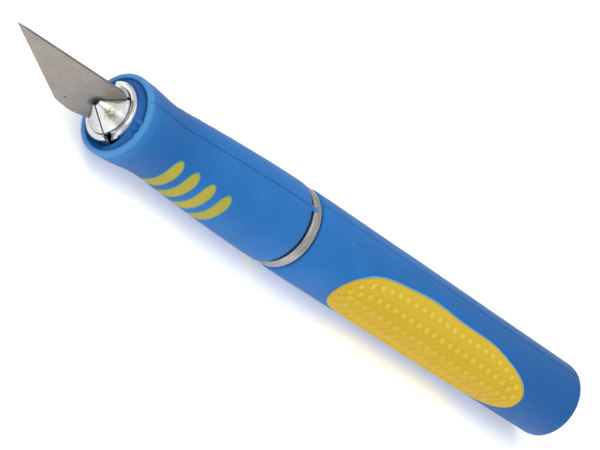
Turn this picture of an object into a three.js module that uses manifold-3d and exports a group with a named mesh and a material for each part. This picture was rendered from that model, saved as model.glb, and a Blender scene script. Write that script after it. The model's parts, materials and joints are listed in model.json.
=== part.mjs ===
// Hobby craft knife with a screw chuck: a fine-point blade in a four-jaw collet, a soft front grip on
// the chuck barrel, and a soft rear grip on the aluminium handle tube.
// Millimetres. +X points to the blade's tip, +Z to the blade's spine side, and the knife lies on z = 0.
// A station is a distance behind the chuck's mouth, along the handle's axis.

import * as THREE from "three";
import { mergeVertices } from "three/addons/utils/BufferGeometryUtils.js";
import Module from "manifold-3d";

const wasm = await Module();
wasm.setup();

// ---- Driving dimensions ----

const GRIP_SIDES = 24; // facets round the grips, with a flat one underneath
const METAL_SIDES = 48; // facets round the turned metal pieces

const seat_gap = 0.3; // between pieces that touch on the real knife
const blade_gap = 0.15; // between the blade and each side of its slot
const run_gap = 0.3; // between pieces that turn or slide on each other

const blade = {
  thickness: 0.5,
  reach: 31.7, // from the chuck's mouth to the tip
  spine: 5.0, // height of the spine above the axis
  belly: 4.7, // depth of the widest point below the axis
  belly_at: 5.3, // ahead of the mouth
  edge_end: 9.5, // where the straight edge ends, ahead of the mouth
  heel_rise: 0.25, // from the belly up to that end
  neck: 3.2, // where the spine starts to curve in, ahead of the mouth
  shoulder_pull: 2.2, // how far the shoulders' curves hold their first direction
  tang_width: 6.6,
  tang_start: 2.6, // behind the mouth
  tang_end: 16, // behind the mouth
  tang_notch: 3.0, // width of the open slot in the tang's end
  tang_notch_length: 4.0, // its straight part
  bevel_width: 1.2, // ground strip along the edge
  edge_thickness: 0.08,
  curve_steps: 8, // straight pieces in each curve of the outline
};

const collet = {
  nose_length: 3.8,
  nose_tip_radius: 0.9,
  head_radius: 4.2,
  head_band: 0.4, // straight band between the nose cone and the mouth
  body_radius: 3.7,
  slit_depth: 18, // how far the jaws' slots run back
  body_end: 22,
  shank_radius: 2.9,
  shank_end: 42,
  thread_radius: 2.5,
  cross_slit: 0.4,
  cross_slit_turn: 20, // degrees, from square to the blade
  ear_width: 1.4,
  ear_turn: 6, // degrees, the same way
  ear_length: 1.0,
  ear_setback: 1.3,
  ear_radius: 5.1,
};

const barrel = {
  collar_wall: 1.0, // round the mouth
  collar_length: 4.5,
  wall: 0.9, // round the collet's body and round the spigot
  rear_start: 30,
  taper_length: 2.5,
  lip_chamfer: 0.35,
  notch_depth: 2.6, // how far the key notches run back from the mouth
  end: 47.0,
};

const front_grip = {
  turn: 7.5, // degrees, how far the grip's stripes are turned up on the right and down on the left
  lip_station: 1.6,
  lip_thickness: 1.08,
  rim_station: 2.8,
  waist_wall: 1.56,
  waist_station: 13.2,
  recess_width: 1.1, // open ring round the barrel's collar
  recess_end: 4.0,
  lip_steps: 6, // straight pieces in the lip's half circle
  length_steps: 18, // straight pieces along the outside
};

const joint_radius = 7.86; // both grips where they meet the middle ring

const stripe = {
  count: 4,
  first_station: 14.7,
  pitch: 4.4,
  width: 2.9,
  length: 10.6, // round the grip
  bluntness: 3, // 2 is an ellipse, more is squarer
  corners: 24, // points on the outline
  rings: 3, // rings of faces between the middle and the outline
  depth: 0.6,
  proud: 0.15,
  sweep: 0.5, // how far the lower end lies behind the upper one
};

const ring = { width: 2.3, radius: 7.7, chamfer: 0.25 };

const rear_grip = {
  turn: -7.5, // degrees, for the thumb pads, the same way as the front grip's
  straight_end: 56,
  tail_radius: 7.08,
  tail_station: 126.4,
  tail_round: 1.6,
  lip_round: 0.9,
  tail_wall: 4.3,
  round_steps: 4, // straight pieces in each rounding
};

const pad = {
  front: 61.4,
  back: 113.5,
  width: 15.2, // round the grip
  bluntness: 2.7,
  corners: 36,
  rings: 4,
  depth: 0.6,
  proud: 0.3,
};

const tube = { radius: 5.0, bore: 4.0, spigot_radius: 4.4, spigot_bore: 3.4, spigot_length: 11.9 };
const insert = { length: 10, setback: 0.6 };
const plug = { length: 10, chamfer: 0.8 };

const colours = {
  blue_rubber: { color: 0x2f79c4, roughness: 0.55, metalness: 0 },
  yellow_rubber: { color: 0xe6c72f, roughness: 0.5, metalness: 0 },
  steel: { color: 0x9c9690, roughness: 0.35, metalness: 1 },
  bright_metal: { color: 0xc8cacb, roughness: 0.2, metalness: 1 },
  satin_aluminium: { color: 0xa9a8a4, roughness: 0.4, metalness: 1 },
  brass: { color: 0xb59a4c, roughness: 0.35, metalness: 1 },
  hard_plastic: { color: 0x2b2d30, roughness: 0.6, metalness: 0 },
};

// ---- Places that follow from the driving dimensions ----

const ring_front = barrel.end + seat_gap;
const ring_back = ring_front + ring.width;
const shoulder = ring_back + seat_gap; // the tube's shoulder and the rear grip's front lip
const spigot_start = shoulder - tube.spigot_length;
const tube_end = rear_grip.tail_station - rear_grip.tail_wall - seat_gap;
const insert_start = shoulder + insert.setback + seat_gap;
const thread_end = insert_start + insert.length - seat_gap;
const thread_start = collet.shank_end + seat_gap;
const barrel_bore = collet.body_radius + run_gap;
const spigot_seat = tube.spigot_radius + run_gap;
const mouth_radius = collet.head_radius + run_gap;
const collar_radius = mouth_radius + barrel.collar_wall;
const barrel_waist = barrel_bore + barrel.wall;
const barrel_rear = spigot_seat + barrel.wall;
const lip_radius = collar_radius + front_grip.recess_width;
const rim_radius = lip_radius + front_grip.lip_thickness;
const waist_radius = barrel_waist + seat_gap + front_grip.waist_wall;
const grip_flat = Math.cos(Math.PI / GRIP_SIDES); // a facet's distance over its corners' radius

// ---- Shape helpers ----

// A closed geometry as a solid that can be joined and cut.
function solidOf(geometry) {
  const bare = geometry.index ? geometry.toNonIndexed() : geometry.clone();
  bare.deleteAttribute("normal");
  bare.deleteAttribute("uv");
  const merged = mergeVertices(bare, 1e-4);
  const triVerts = merged.index.array;
  const vertProperties = merged.attributes.position.array;
  return new wasm.Manifold(new wasm.Mesh({ numProp: 3, vertProperties, triVerts }));
}

function geometryOf(solid) {
  const { vertProperties, triVerts } = solid.getMesh();
  const geometry = new THREE.BufferGeometry();
  geometry.setAttribute("position", new THREE.BufferAttribute(vertProperties, 3));
  geometry.setIndex(new THREE.BufferAttribute(triVerts, 1));
  geometry.computeVertexNormals();
  return geometry;
}

// A turned piece. The profile lists [station, radius]: the bore forwards, then the outside rearwards.
function turned(profile, sides) {
  const points = profile.map(([station, radius]) => new THREE.Vector2(radius, station));
  const lathe = new THREE.LatheGeometry(points, sides, Math.PI / sides);
  return solidOf(lathe.rotateZ(Math.PI / 2));
}

// A box between two stations, centred on the axis in Y and Z. A turn, in degrees, takes its +Y end down.
function slab(front, back, widthY, widthZ, turn = 0) {
  const box = new THREE.BoxGeometry(back - front, widthY, widthZ);
  box.translate(-(front + back) / 2, 0, 0).rotateX(-THREE.MathUtils.degToRad(turn));
  return solidOf(box);
}

// An outline in the XZ plane, as a prism between two distances along Y.
function prism(outline, fromY, toY) {
  const extrusion = new THREE.ExtrudeGeometry(new THREE.Shape(outline), {
    depth: toY - fromY,
    bevelEnabled: false,
  });
  return solidOf(extrusion.rotateX(Math.PI / 2).translate(0, toY, 0));
}

// Points on an arc of a circle, from one angle to another, in degrees.
function arc(station, radius, size, from, to, steps) {
  return Array.from({ length: steps + 1 }, (_, i) => {
    const angle = THREE.MathUtils.degToRad(from + ((to - from) * i) / steps);
    return [station + size * Math.cos(angle), radius + size * Math.sin(angle)];
  });
}

// A blunt oval about the middle of its own plane.
function oval(width, height, { bluntness, corners }) {
  const blunt = (value) => Math.sign(value) * Math.abs(value) ** (2 / bluntness);
  return Array.from({ length: corners }, (_, i) => {
    const angle = (2 * Math.PI * i) / corners;
    return [(width / 2) * blunt(Math.cos(angle)), (height / 2) * blunt(Math.sin(angle))];
  });
}

// A patch of a grip's skin with its walls square to the surface, on the +Y side (1) or the -Y side (-1).
// The outline lists [station, distance round the grip], anticlockwise as seen from outside on the +Y side.
function patch(side, outline, rings, radiusAt, below, above) {
  const loop = side > 0 ? outline : [...outline].reverse();
  const count = loop.length;
  const middle = [0, 1].map((k) => loop.reduce((sum, point) => sum + point[k], 0) / count);
  const positions = [];
  const faces = [];
  for (const height of [above, -below])
    for (let ring = 0; ring <= rings; ring++)
      for (const point of ring ? loop : [middle]) {
        const [station, round] = middle.map((m, k) => THREE.MathUtils.lerp(m, point[k], ring / rings));
        const angle = round / radiusAt(station);
        const radius = radiusAt(station) + height;
        positions.push(-station, side * radius * Math.cos(angle), radius * Math.sin(angle));
      }
  const layer = 1 + rings * count;
  const at = (ring, i) => 1 + (ring - 1) * count + (i % count);
  const bothSides = (a, b, c) => faces.push(a, b, c, layer + a, layer + c, layer + b);
  for (let i = 0; i < count; i++) {
    bothSides(0, at(1, i), at(1, i + 1));
    for (let ring = 1; ring < rings; ring++) {
      bothSides(at(ring, i), at(ring + 1, i), at(ring + 1, i + 1));
      bothSides(at(ring, i), at(ring + 1, i + 1), at(ring, i + 1));
    }
    const [here, next] = [at(rings, i), at(rings, i + 1)];
    faces.push(here, layer + here, layer + next, here, layer + next, next);
  }
  const geometry = new THREE.BufferGeometry();
  geometry.setAttribute("position", new THREE.Float32BufferAttribute(positions, 3));
  geometry.setIndex(faces);
  return solidOf(geometry);
}

// ---- Outside radius of each grip, at a station ----

function frontRadius(station) {
  const { rim_station, waist_station } = front_grip;
  if (station < waist_station) {
    const share = THREE.MathUtils.smoothstep(station, rim_station, waist_station);
    return THREE.MathUtils.lerp(rim_radius, waist_radius, share);
  }
  const share = (station - waist_station) / (barrel.end - waist_station);
  return THREE.MathUtils.lerp(waist_radius, joint_radius, Math.sin((Math.PI / 2) * share));
}

function rearRadius(station) {
  const { straight_end, tail_radius, tail_station, tail_round } = rear_grip;
  const share = (station - straight_end) / (tail_station - tail_round - straight_end);
  return THREE.MathUtils.lerp(joint_radius, tail_radius, THREE.MathUtils.clamp(share, 0, 1));
}

// ---- Blade ----

function makeBlade() {
  const { reach, spine, belly, belly_at, neck, shoulder_pull: pull, tang_start, tang_end } = blade;
  const tang = blade.tang_width / 2;
  const notch = blade.tang_notch / 2;
  const notch_end = -tang_end + blade.tang_notch_length;
  const heel = new THREE.Vector2(blade.edge_end, blade.heel_rise - belly);
  const outline = new THREE.Path();
  outline.moveTo(reach, spine);
  outline.lineTo(neck, spine);
  outline.bezierCurveTo(neck - pull, spine, pull - tang_start, tang, -tang_start, tang);
  outline.lineTo(-tang_end, tang);
  outline.lineTo(-tang_end, notch);
  outline.lineTo(notch_end, notch);
  outline.absarc(notch_end, 0, notch, Math.PI / 2, -Math.PI / 2, true);
  outline.lineTo(-tang_end, -notch);
  outline.lineTo(-tang_end, -tang);
  outline.lineTo(-tang_start, -tang);
  outline.bezierCurveTo(pull - tang_start, -tang, belly_at - pull, -belly, belly_at, -belly);
  outline.quadraticCurveTo((belly_at + heel.x) / 2, -belly, heel.x, heel.y);
  const half = blade.thickness / 2;
  let body = prism(outline.getPoints(blade.curve_steps), -half, half);

  // The ground bevels: on each side a wedge is taken off along the straight edge.
  const along = new THREE.Vector2(reach, spine).sub(heel);
  const keep = blade.edge_thickness / 2;
  const lean = Math.atan2(half - keep, blade.bevel_width);
  for (const side of [-1, 1]) {
    const wedge = new THREE.BoxGeometry(2 * along.length(), belly, 2 * belly);
    wedge.translate(along.length() / 2, belly / 2, 0).rotateX(-lean);
    wedge.translate(0, keep, 0).scale(1, side, 1);
    if (side < 0) wedge.index.array.reverse();
    wedge.rotateY(-along.angle()).translate(heel.x, 0, heel.y);
    body = body.subtract(solidOf(wedge));
  }
  return body;
}

// ---- Chuck ----

function makeCollet() {
  const c = collet;
  const body = turned(
    [
      [-c.nose_length, 0],
      [-c.nose_length, c.nose_tip_radius],
      [-c.head_band, c.head_radius],
      [0, c.head_radius],
      [barrel.taper_length, c.body_radius],
      [c.body_end, c.body_radius],
      [c.body_end + c.body_radius - c.shank_radius, c.shank_radius],
      [c.shank_end, c.shank_radius],
      [thread_start, c.thread_radius],
      [thread_end, c.thread_radius],
      [thread_end, 0],
    ],
    METAL_SIDES,
  );
  const ear_back = c.ear_setback + c.ear_length;
  const ears = slab(c.ear_setback, ear_back, 2 * c.ear_radius, c.ear_width, c.ear_turn);
  const through = 4 * c.head_radius;
  const blade_slot = slab(-2 * c.nose_length, c.slit_depth, blade.thickness + 2 * blade_gap, through);
  const cross_slot = slab(-2 * c.nose_length, c.slit_depth, through, c.cross_slit, c.cross_slit_turn);
  return body.add(ears).subtract(blade_slot).subtract(cross_slot);
}

function makeBarrel() {
  const b = barrel;
  const step = spigot_start - run_gap;
  const body = turned(
    [
      [b.end, spigot_seat],
      [step, spigot_seat],
      [step, barrel_bore],
      [b.taper_length, barrel_bore],
      [0, mouth_radius],
      [0, collar_radius - b.lip_chamfer],
      [b.lip_chamfer, collar_radius],
      [b.collar_length, collar_radius],
      [b.collar_length, barrel_waist],
      [b.rear_start, barrel_waist],
      [b.rear_start, barrel_rear],
      [b.end, barrel_rear],
      [b.end, spigot_seat],
    ],
    METAL_SIDES,
  );
  const notch_width = collet.ear_width + 2 * run_gap;
  const notches = slab(-b.notch_depth, b.notch_depth, 4 * collar_radius, notch_width, collet.ear_turn);
  return body.subtract(notches);
}

// One finger stripe: a bar with round ends, leaning back towards its lower end.
function stripeOn(side, index, grow, below, above) {
  const station = stripe.first_station + index * stripe.pitch;
  const outline = oval(stripe.width + 2 * grow, stripe.length + 2 * grow, stripe).map(
    ([along, round]) => [station + along - (stripe.sweep * round) / stripe.length, round],
  );
  const upright = patch(side, outline, stripe.rings, frontRadius, below, above);
  return upright.rotate([-front_grip.turn, 0, 0]);
}

function makeFrontGrip() {
  const g = front_grip;
  const collar_bore = collar_radius + seat_gap;
  const waist_bore = barrel_waist + seat_gap;
  const rear_bore = barrel_rear + seat_gap;
  const lip_size = g.lip_thickness / 2;
  const lip_middle = g.lip_station + lip_size;
  const outside = Array.from({ length: g.length_steps + 1 }, (_, i) => {
    const share = i / g.length_steps;
    const station = THREE.MathUtils.lerp(g.rim_station, barrel.end - lip_size, share);
    return [station, frontRadius(station)];
  });
  const profile = [
    [barrel.end, rear_bore],
    [barrel.rear_start - seat_gap, rear_bore],
    [barrel.rear_start - seat_gap, waist_bore],
    [barrel.collar_length + seat_gap, waist_bore],
    [barrel.collar_length + seat_gap, collar_bore],
    [g.recess_end, collar_bore],
    ...arc(lip_middle, lip_radius + lip_size, lip_size, 270, 90, g.lip_steps),
    ...outside,
    [barrel.end, joint_radius - lip_size],
    [barrel.end, rear_bore],
  ];
  let body = turned(profile, GRIP_SIDES);
  for (const side of [1, -1])
    for (let i = 0; i < stripe.count; i++)
      body = body.subtract(stripeOn(side, i, seat_gap, stripe.depth + seat_gap, stripe.depth));
  return body;
}

// ---- Handle ----

function makeMiddleRing() {
  const bore = tube.spigot_radius + seat_gap;
  return turned(
    [
      [ring_back, bore],
      [ring_front, bore],
      [ring_front, ring.radius - ring.chamfer],
      [ring_front + ring.chamfer, ring.radius],
      [ring_back - ring.chamfer, ring.radius],
      [ring_back, ring.radius - ring.chamfer],
      [ring_back, bore],
    ],
    GRIP_SIDES,
  );
}

function makeTube() {
  const bore_start = shoulder + insert.setback;
  return turned(
    [
      [tube_end, tube.bore],
      [bore_start, tube.bore],
      [bore_start, tube.spigot_bore],
      [spigot_start, tube.spigot_bore],
      [spigot_start, tube.spigot_radius],
      [shoulder, tube.spigot_radius],
      [shoulder, tube.radius],
      [tube_end, tube.radius],
      [tube_end, tube.bore],
    ],
    METAL_SIDES,
  );
}

function makeInsert() {
  const bore = collet.thread_radius + run_gap;
  const outside = tube.bore - seat_gap;
  return turned(
    [
      [insert_start + insert.length, bore],
      [insert_start, bore],
      [insert_start, outside],
      [insert_start + insert.length, outside],
      [insert_start + insert.length, bore],
    ],
    METAL_SIDES,
  );
}

function makePlug() {
  const radius = tube.bore - seat_gap;
  return turned(
    [
      [tube_end - plug.length, 0],
      [tube_end - plug.length, radius - plug.chamfer],
      [tube_end - plug.length + plug.chamfer, radius],
      [tube_end, radius],
      [tube_end, 0],
    ],
    METAL_SIDES,
  );
}

// A thumb pad: a long oval with blunt ends.
function padOn(side, grow, below, above) {
  const middle = (pad.front + pad.back) / 2;
  const length = pad.back - pad.front;
  const outline = oval(length + 2 * grow, pad.width + 2 * grow, pad).map(([along, round]) => [
    middle + along,
    round,
  ]);
  const upright = patch(side, outline, pad.rings, rearRadius, below, above);
  return upright.rotate([-rear_grip.turn, 0, 0]);
}

function makeRearGrip() {
  const g = rear_grip;
  const bore = tube.radius + seat_gap;
  const profile = [
    [tube_end + seat_gap, 0],
    [tube_end + seat_gap, bore],
    [shoulder, bore],
    ...arc(shoulder + g.lip_round, joint_radius - g.lip_round, g.lip_round, 180, 90, g.round_steps),
    [g.straight_end, joint_radius],
    ...arc(g.tail_station - g.tail_round, g.tail_radius - g.tail_round, g.tail_round, 90, 0, g.round_steps),
    [g.tail_station, 0],
  ];
  let body = turned(profile, GRIP_SIDES);
  for (const side of [1, -1]) body = body.subtract(padOn(side, seat_gap, pad.depth + seat_gap, pad.depth));
  return body;
}

// ---- Assembly ----

const knife = new THREE.Group();
const total_length = blade.reach + rear_grip.tail_station;
knife.position.set(total_length / 2 - blade.reach, 0, joint_radius * grip_flat);

function place(parent, name, solid, finish) {
  const mesh = new THREE.Mesh(geometryOf(solid), new THREE.MeshStandardMaterial(colours[finish]));
  mesh.name = name;
  parent.add(mesh);
}

const chuck = new THREE.Group();
const handle = new THREE.Group();
knife.add(chuck, handle);

place(chuck, "blade", makeBlade(), "steel");
place(chuck, "collet", makeCollet(), "bright_metal");
place(chuck, "chuck_barrel", makeBarrel(), "bright_metal");
place(chuck, "front_grip", makeFrontGrip(), "blue_rubber");
place(handle, "middle_ring", makeMiddleRing(), "satin_aluminium");
place(handle, "handle_tube", makeTube(), "satin_aluminium");
place(handle, "thread_insert", makeInsert(), "brass");
place(handle, "tail_plug", makePlug(), "hard_plastic");
place(handle, "rear_grip", makeRearGrip(), "blue_rubber");

for (const [word, side] of [["left", 1], ["right", -1]]) {
  for (let i = 0; i < stripe.count; i++) {
    const inlay = stripeOn(side, i, 0, stripe.depth, stripe.proud);
    place(chuck, `finger_stripe_${word}_${i + 1}`, inlay, "yellow_rubber");
  }
  place(handle, `thumb_pad_${word}`, padOn(side, 0, pad.depth, pad.proud), "yellow_rubber");
}

export default knife;
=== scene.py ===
"""Craft knife: the visual model of a soft-grip hobby knife with a screw chuck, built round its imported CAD
parts.

+X points to the blade's tip and +Z to its spine. A station is a distance behind the chuck's mouth, along the
handle's axis. A turn is an angle round that axis, from the top of the knife towards its left (+Y) side.
Stations, radii and turns are in millimetres and degrees. Settings and meshes are in Blender's metres and
radians, and MM turns millimetres to metres.
"""

import json
import math

import bpy
from bpy.props import FloatProperty, FloatVectorProperty, IntProperty, PointerProperty
from bpy.types import Operator, Panel, PropertyGroup
from mathutils import Matrix, Vector

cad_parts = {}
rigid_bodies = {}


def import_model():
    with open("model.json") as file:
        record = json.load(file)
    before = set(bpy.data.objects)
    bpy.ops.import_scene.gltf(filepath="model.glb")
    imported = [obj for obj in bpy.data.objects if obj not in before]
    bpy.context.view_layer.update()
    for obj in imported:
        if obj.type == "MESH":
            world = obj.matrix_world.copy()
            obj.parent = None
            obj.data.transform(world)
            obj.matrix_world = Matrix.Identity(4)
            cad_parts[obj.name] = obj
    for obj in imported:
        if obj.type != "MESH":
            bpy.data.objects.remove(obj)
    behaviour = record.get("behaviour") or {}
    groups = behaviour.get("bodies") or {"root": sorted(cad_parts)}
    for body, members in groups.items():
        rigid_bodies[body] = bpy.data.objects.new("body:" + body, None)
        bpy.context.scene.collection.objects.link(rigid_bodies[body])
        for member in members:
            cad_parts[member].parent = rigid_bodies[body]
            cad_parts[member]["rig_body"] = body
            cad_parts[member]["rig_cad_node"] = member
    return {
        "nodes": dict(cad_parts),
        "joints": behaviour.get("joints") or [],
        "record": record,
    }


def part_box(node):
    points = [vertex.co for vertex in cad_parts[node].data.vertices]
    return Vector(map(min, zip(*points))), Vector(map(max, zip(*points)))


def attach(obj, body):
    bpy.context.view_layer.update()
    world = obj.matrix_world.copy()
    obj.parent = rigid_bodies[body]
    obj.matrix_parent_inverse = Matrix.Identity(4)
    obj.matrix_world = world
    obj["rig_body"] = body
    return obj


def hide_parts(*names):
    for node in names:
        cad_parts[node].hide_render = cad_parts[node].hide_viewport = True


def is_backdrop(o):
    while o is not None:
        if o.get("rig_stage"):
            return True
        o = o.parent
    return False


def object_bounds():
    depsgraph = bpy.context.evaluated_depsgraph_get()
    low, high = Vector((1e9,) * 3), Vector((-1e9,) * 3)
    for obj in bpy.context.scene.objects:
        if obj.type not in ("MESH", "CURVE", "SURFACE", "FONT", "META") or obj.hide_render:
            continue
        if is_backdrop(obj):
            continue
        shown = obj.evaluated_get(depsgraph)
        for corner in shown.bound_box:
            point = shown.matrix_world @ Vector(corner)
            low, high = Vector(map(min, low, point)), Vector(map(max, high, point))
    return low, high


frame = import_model()

bl_info = {
    "name": "Craft Knife",
    "version": (1, 0, 0),
    "blender": (4, 5, 0),
    "location": "3D View > Sidebar > Craft Knife",
    "description": "Models a soft-grip craft knife with a screw chuck, its finishes and its studio stage",
    "category": "Object",
}

MM = 0.001
NODES = frame["nodes"]
RECORD = frame["record"]
MOUTH = Vector(frame["joints"][0]["pos_m"])  # the middle of the chuck's mouth, on the handle's axis
BODY = {node: body for body, nodes in RECORD["behaviour"]["bodies"].items() for node in nodes}
SIDES = {"left": 1, "right": -1}  # the knife's two sides, as the sign of Y
GRIP_MERIDIAN = 7.5  # turn of a line of CAD vertices along the grips, clear of the stripes and pads
METAL_MERIDIAN = 48.75  # the same on the metal pieces, clear of their slots
NEAR = 0.01  # millimetres: what lies closer than this is at the same place
WELD = 0.001 * MM  # vertices closer than this become one
SHARP = 35  # degrees: an edge that bends more than this is shaded sharp, and chamfered on a machined piece
BLADE_SHARP, GRIP_SHARP, INLAY_SHARP = 20, 50, 60  # the same for the shading of those pieces


# ---- Colours, sizes and settings ----


def linear(code):
    """An sRGB hex colour as linear values."""
    channels = [int(code[i : i + 2], 16) / 255 for i in (1, 3, 5)]
    return [c / 12.92 if c <= 0.04045 else ((c + 0.055) / 1.055) ** 2.4 for c in channels]


def size(name, millimetres, description):
    return FloatProperty(
        name=name, description=description, default=millimetres * MM, precision=5,
        unit="LENGTH", subtype="DISTANCE",
    )


def angle(name, degrees, description):
    return FloatProperty(
        name=name, description=description, default=math.radians(degrees), unit="ROTATION", subtype="ANGLE"
    )


def tint(name, code, description):
    return FloatVectorProperty(
        name=name, description=description, default=linear(code), subtype="COLOR", size=3, min=0, max=1
    )


def strength(name, default, description):
    return FloatProperty(name=name, description=description, default=default, min=0)


class CraftKnifeBlade(PropertyGroup):
    edge_round: size("Edge rounding", 0.025, "Width of the rounding on the blade's crisp edges")
    steel: tint("Steel", "#a39c95", "Colour of the ground steel")


class CraftKnifeChuck(PropertyGroup):
    sides: IntProperty(name="Sides", description="Facets round the turned metal", default=144, min=48)
    blade_slot: size("Blade slot", 0.6, "Width of the slot that the blade sits in")
    cross_slit: size("Cross slit", 0.3, "Width of the slit across the blade slot")
    cross_slit_turn: angle("Cross slit turn", 20, "How far the cross slit leans from square to the blade")
    slit_depth: size("Slit depth", 18, "How far the slots run back from the mouth")
    head_growth: size("Head growth", 0.26, "How far the jaws' rim reaches into the mouth's working clearance")
    ear_length: size("Ear length", 1.0, "Length of the two keys that ride in the barrel's notches")
    ear_setback: size("Ear setback", 1.3, "How far behind the mouth the keys start")
    ear_reach: size("Ear reach", 5.1, "Distance of the keys' ends from the axis")
    ear_width: size("Ear width", 1.4, "Width of a key")
    notch_width: size("Notch width", 2.5, "Width of the barrel's two notches")
    notch_depth: size("Notch depth", 2.6, "How far the notches run back from the mouth")
    key_turn: angle("Key turn", 6, "How far the keys and notches lean from the knife's sides")
    edge_break: size("Edge break", 0.045, "Width of the small chamfers on machined edges")
    metal: tint("Metal", "#dcdedf", "Colour of the bright turned metal")
    # Painted reflection: the olive colour of the mottled patch on a jaw.
    painted_reflection: tint("Tarnish", "#8f9068", "Colour of the dull patch on a jaw")
    reflection_turn: angle("Patch turn", 58, "Where round the jaws that patch lies, from the top towards the left")


class CraftKnifeGrips(PropertyGroup):
    sides: IntProperty(name="Sides", description="Facets round the grips and the ring", default=120, min=48)
    groove_width: size("Parting line width", 0.36, "Width of the parting line's groove")
    groove_depth: size("Parting line depth", 0.17, "Depth of the parting line's groove")
    recess_rise: size("Recess rise", 3.3, "How much shallower the soft lip's recess is than the CAD solid's")
    recess_gap: size("Recess gap", 0.01, "Gap between the soft lip's recess and the barrel's collar")
    ring_gap: size("Ring gap", 0.2, "How much the gap before the ring is widened")
    wrinkle: size("Lip wrinkles", 0.22, "Height of the small moulding wrinkles inside the lip")
    flash_length: size("Flash length", 1.45, "How far the tongue of flash reaches from the front grip's end")
    flash_width: size("Flash width", 1.15, "Width of that tongue")
    flash_height: size("Flash height", 0.4, "Thickness of that tongue")
    rubber: tint("Blue rubber", "#1a70bc", "Colour of the blue thermoplastic rubber")
    # Painted highlight: the colour that the lip's front is painted paler in.
    lip_highlight_blue: tint("Lip blue", "#5499d6", "Colour of the paler soft lip round the mouth")
    # Painted shade: the colour of the grips in their recess, at the waist, by the ring and towards the tail.
    shade_blue: tint("Handled blue", "#0d5aa0", "Colour of the rubber where it is darkest with handling")
    ring_break: size("Ring edge break", 0.05, "Width of the small chamfers on the ring's edges")
    ring: tint("Ring", "#b4b2ad", "Colour of the satin aluminium ring")


class CraftKnifeInlays(PropertyGroup):
    stripe_count: IntProperty(name="Stripes", description="Stripes on each side", default=4, min=1, max=4)
    stripe_width: size("Stripe width", 2.9, "Width of a finger stripe along the knife")
    stripe_length: size("Stripe length", 10.6, "Length of a finger stripe round the grip")
    stripe_lean: size("Stripe lean", 0.5, "How far a stripe's lower end lies behind its upper one")
    stripe_crown: size("Stripe crown", 0.06, "How far a stripe stands proud")
    pad_crown: size("Pad crown", 0.1, "How far a pad's skin stands proud")
    bump_width: size("Bump width", 1.7, "Width of a bump on the pads")
    bump_height: size("Bump height", 0.19, "Height of a bump over the pad")
    bump_pitch: size("Bump pitch", 2.25, "Distance between the bumps of a row")
    bump_border: size("Bump border", 2.4, "Plain border round the rows of bumps")
    bump_rows: IntProperty(name="Bump rows", description="Rows of bumps round the grip", default=5, min=1)
    wave: size("Edge wave", 0.3, "How far a pad's upper edge wanders")
    taper: size("Rear taper", 1.3, "How far a pad's upper edge dips towards the tail")
    stripe_yellow: tint("Stripe yellow", "#b3a637", "Colour of the finger stripes")
    pad_yellow: tint("Pad yellow", "#d3ae1c", "Colour of the thumb pads")
    # Painted highlight: the colour of the bumps' tops and a little of the pads' upper half.
    highlight_yellow: tint("Crest yellow", "#e6d353", "Colour of the pads' worn bumps")
    teal: tint("Stripe edge", "#3a8fa0", "Colour of the stripes' edge, where the blue shows through")
    olive: tint("Stripe stain", "#8c9c4c", "Colour of the stain just inside that edge")
    # On the pads the thin line is partly the blue showing through and partly a painted highlight, and the
    # band just inside it is painted shade.
    cyan: tint("Pad edge", "#3aa0dc", "Colour of the thin line round the pads")
    pad_edge_shade: tint("Pad stain", "#a98a3c", "Colour of the stain just inside that line")


class CraftKnifeStage(PropertyGroup):
    azimuth: angle("Azimuth", 38.81, "Direction of the camera round the knife, from the blade's tip")
    elevation: angle("Elevation", 27.74, "Height of the camera over the floor")
    roll: angle("Roll", 63.46, "Turn of the camera about its own line of sight")
    distance: size("Distance", 2542, "Distance of the camera from the point it aims at")
    lens: FloatProperty(name="Lens", description="Focal length in mm on a 36 mm sensor", default=900, min=50)
    aim_right: size("Aim right", 32.25, "How far right of the mouth the camera aims, in its own view")
    aim_up: size("Aim up", -19.5, "How far above the mouth the camera aims, in its own view")
    floor: tint("Floor", "#f6f6f4", "Colour of the paper floor")
    glow: strength("Floor glow", 0.35, "Strength of the light from under the floor")
    daylight: strength("Daylight", 0.75, "Strength of the light from all round")
    softbox: strength("Softbox", 1.2, "Power of the overhead softbox, in watts")
    fill: strength("Fill", 0.7, "Power of the low softbox ahead of the tip, in watts")


# ---- Places on the knife ----


def station(co):
    return (MOUTH.x - co.x) / MM


def radius(co):
    return math.hypot(co.y - MOUTH.y, co.z - MOUTH.z) / MM


def turn(co):
    return math.degrees(math.atan2(co.y - MOUTH.y, co.z - MOUTH.z))


def skin(node):
    """A function that gives a grip's outer radius at a station, from the rings of the CAD node's mesh."""
    beside = 1  # degrees from the meridian within which a vertex counts as on it
    rings = {}
    for vertex in NODES[node].data.vertices:
        if abs(abs(turn(vertex.co)) - GRIP_MERIDIAN) < beside:
            ring = round(station(vertex.co), 2)
            rings[ring] = max(rings.get(ring, 0), radius(vertex.co))
    bore_limit = 0.8 * max(rings.values())  # a ring inside this radius is the bore's
    places = sorted(ring for ring in rings if rings[ring] > bore_limit)

    def radius_at(where):
        after = next((p for p in places if p > where), places[-1])
        before = places[max(0, places.index(after) - 1)]
        share = (where - before) / (after - before) if after > before else 0
        return rings[before] + (rings[after] - rings[before]) * min(max(share, 0), 1)

    return radius_at


def turns(node):
    """The middle and the width of the turns that an inlaid CAD node covers."""
    covered = [turn(vertex.co) for vertex in NODES[node].data.vertices]
    return (max(covered) + min(covered)) / 2, max(covered) - min(covered)


# ---- Modelling helpers ----


def rest():
    """Leaves edit mode, with nothing selected."""
    if bpy.context.mode != "OBJECT":
        bpy.ops.object.mode_set(mode="OBJECT")
    bpy.ops.object.select_all(action="DESELECT")


def only(piece):
    """Leaves edit mode and selects one piece alone."""
    rest()
    piece.select_set(True)
    bpy.context.view_layer.objects.active = piece


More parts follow.
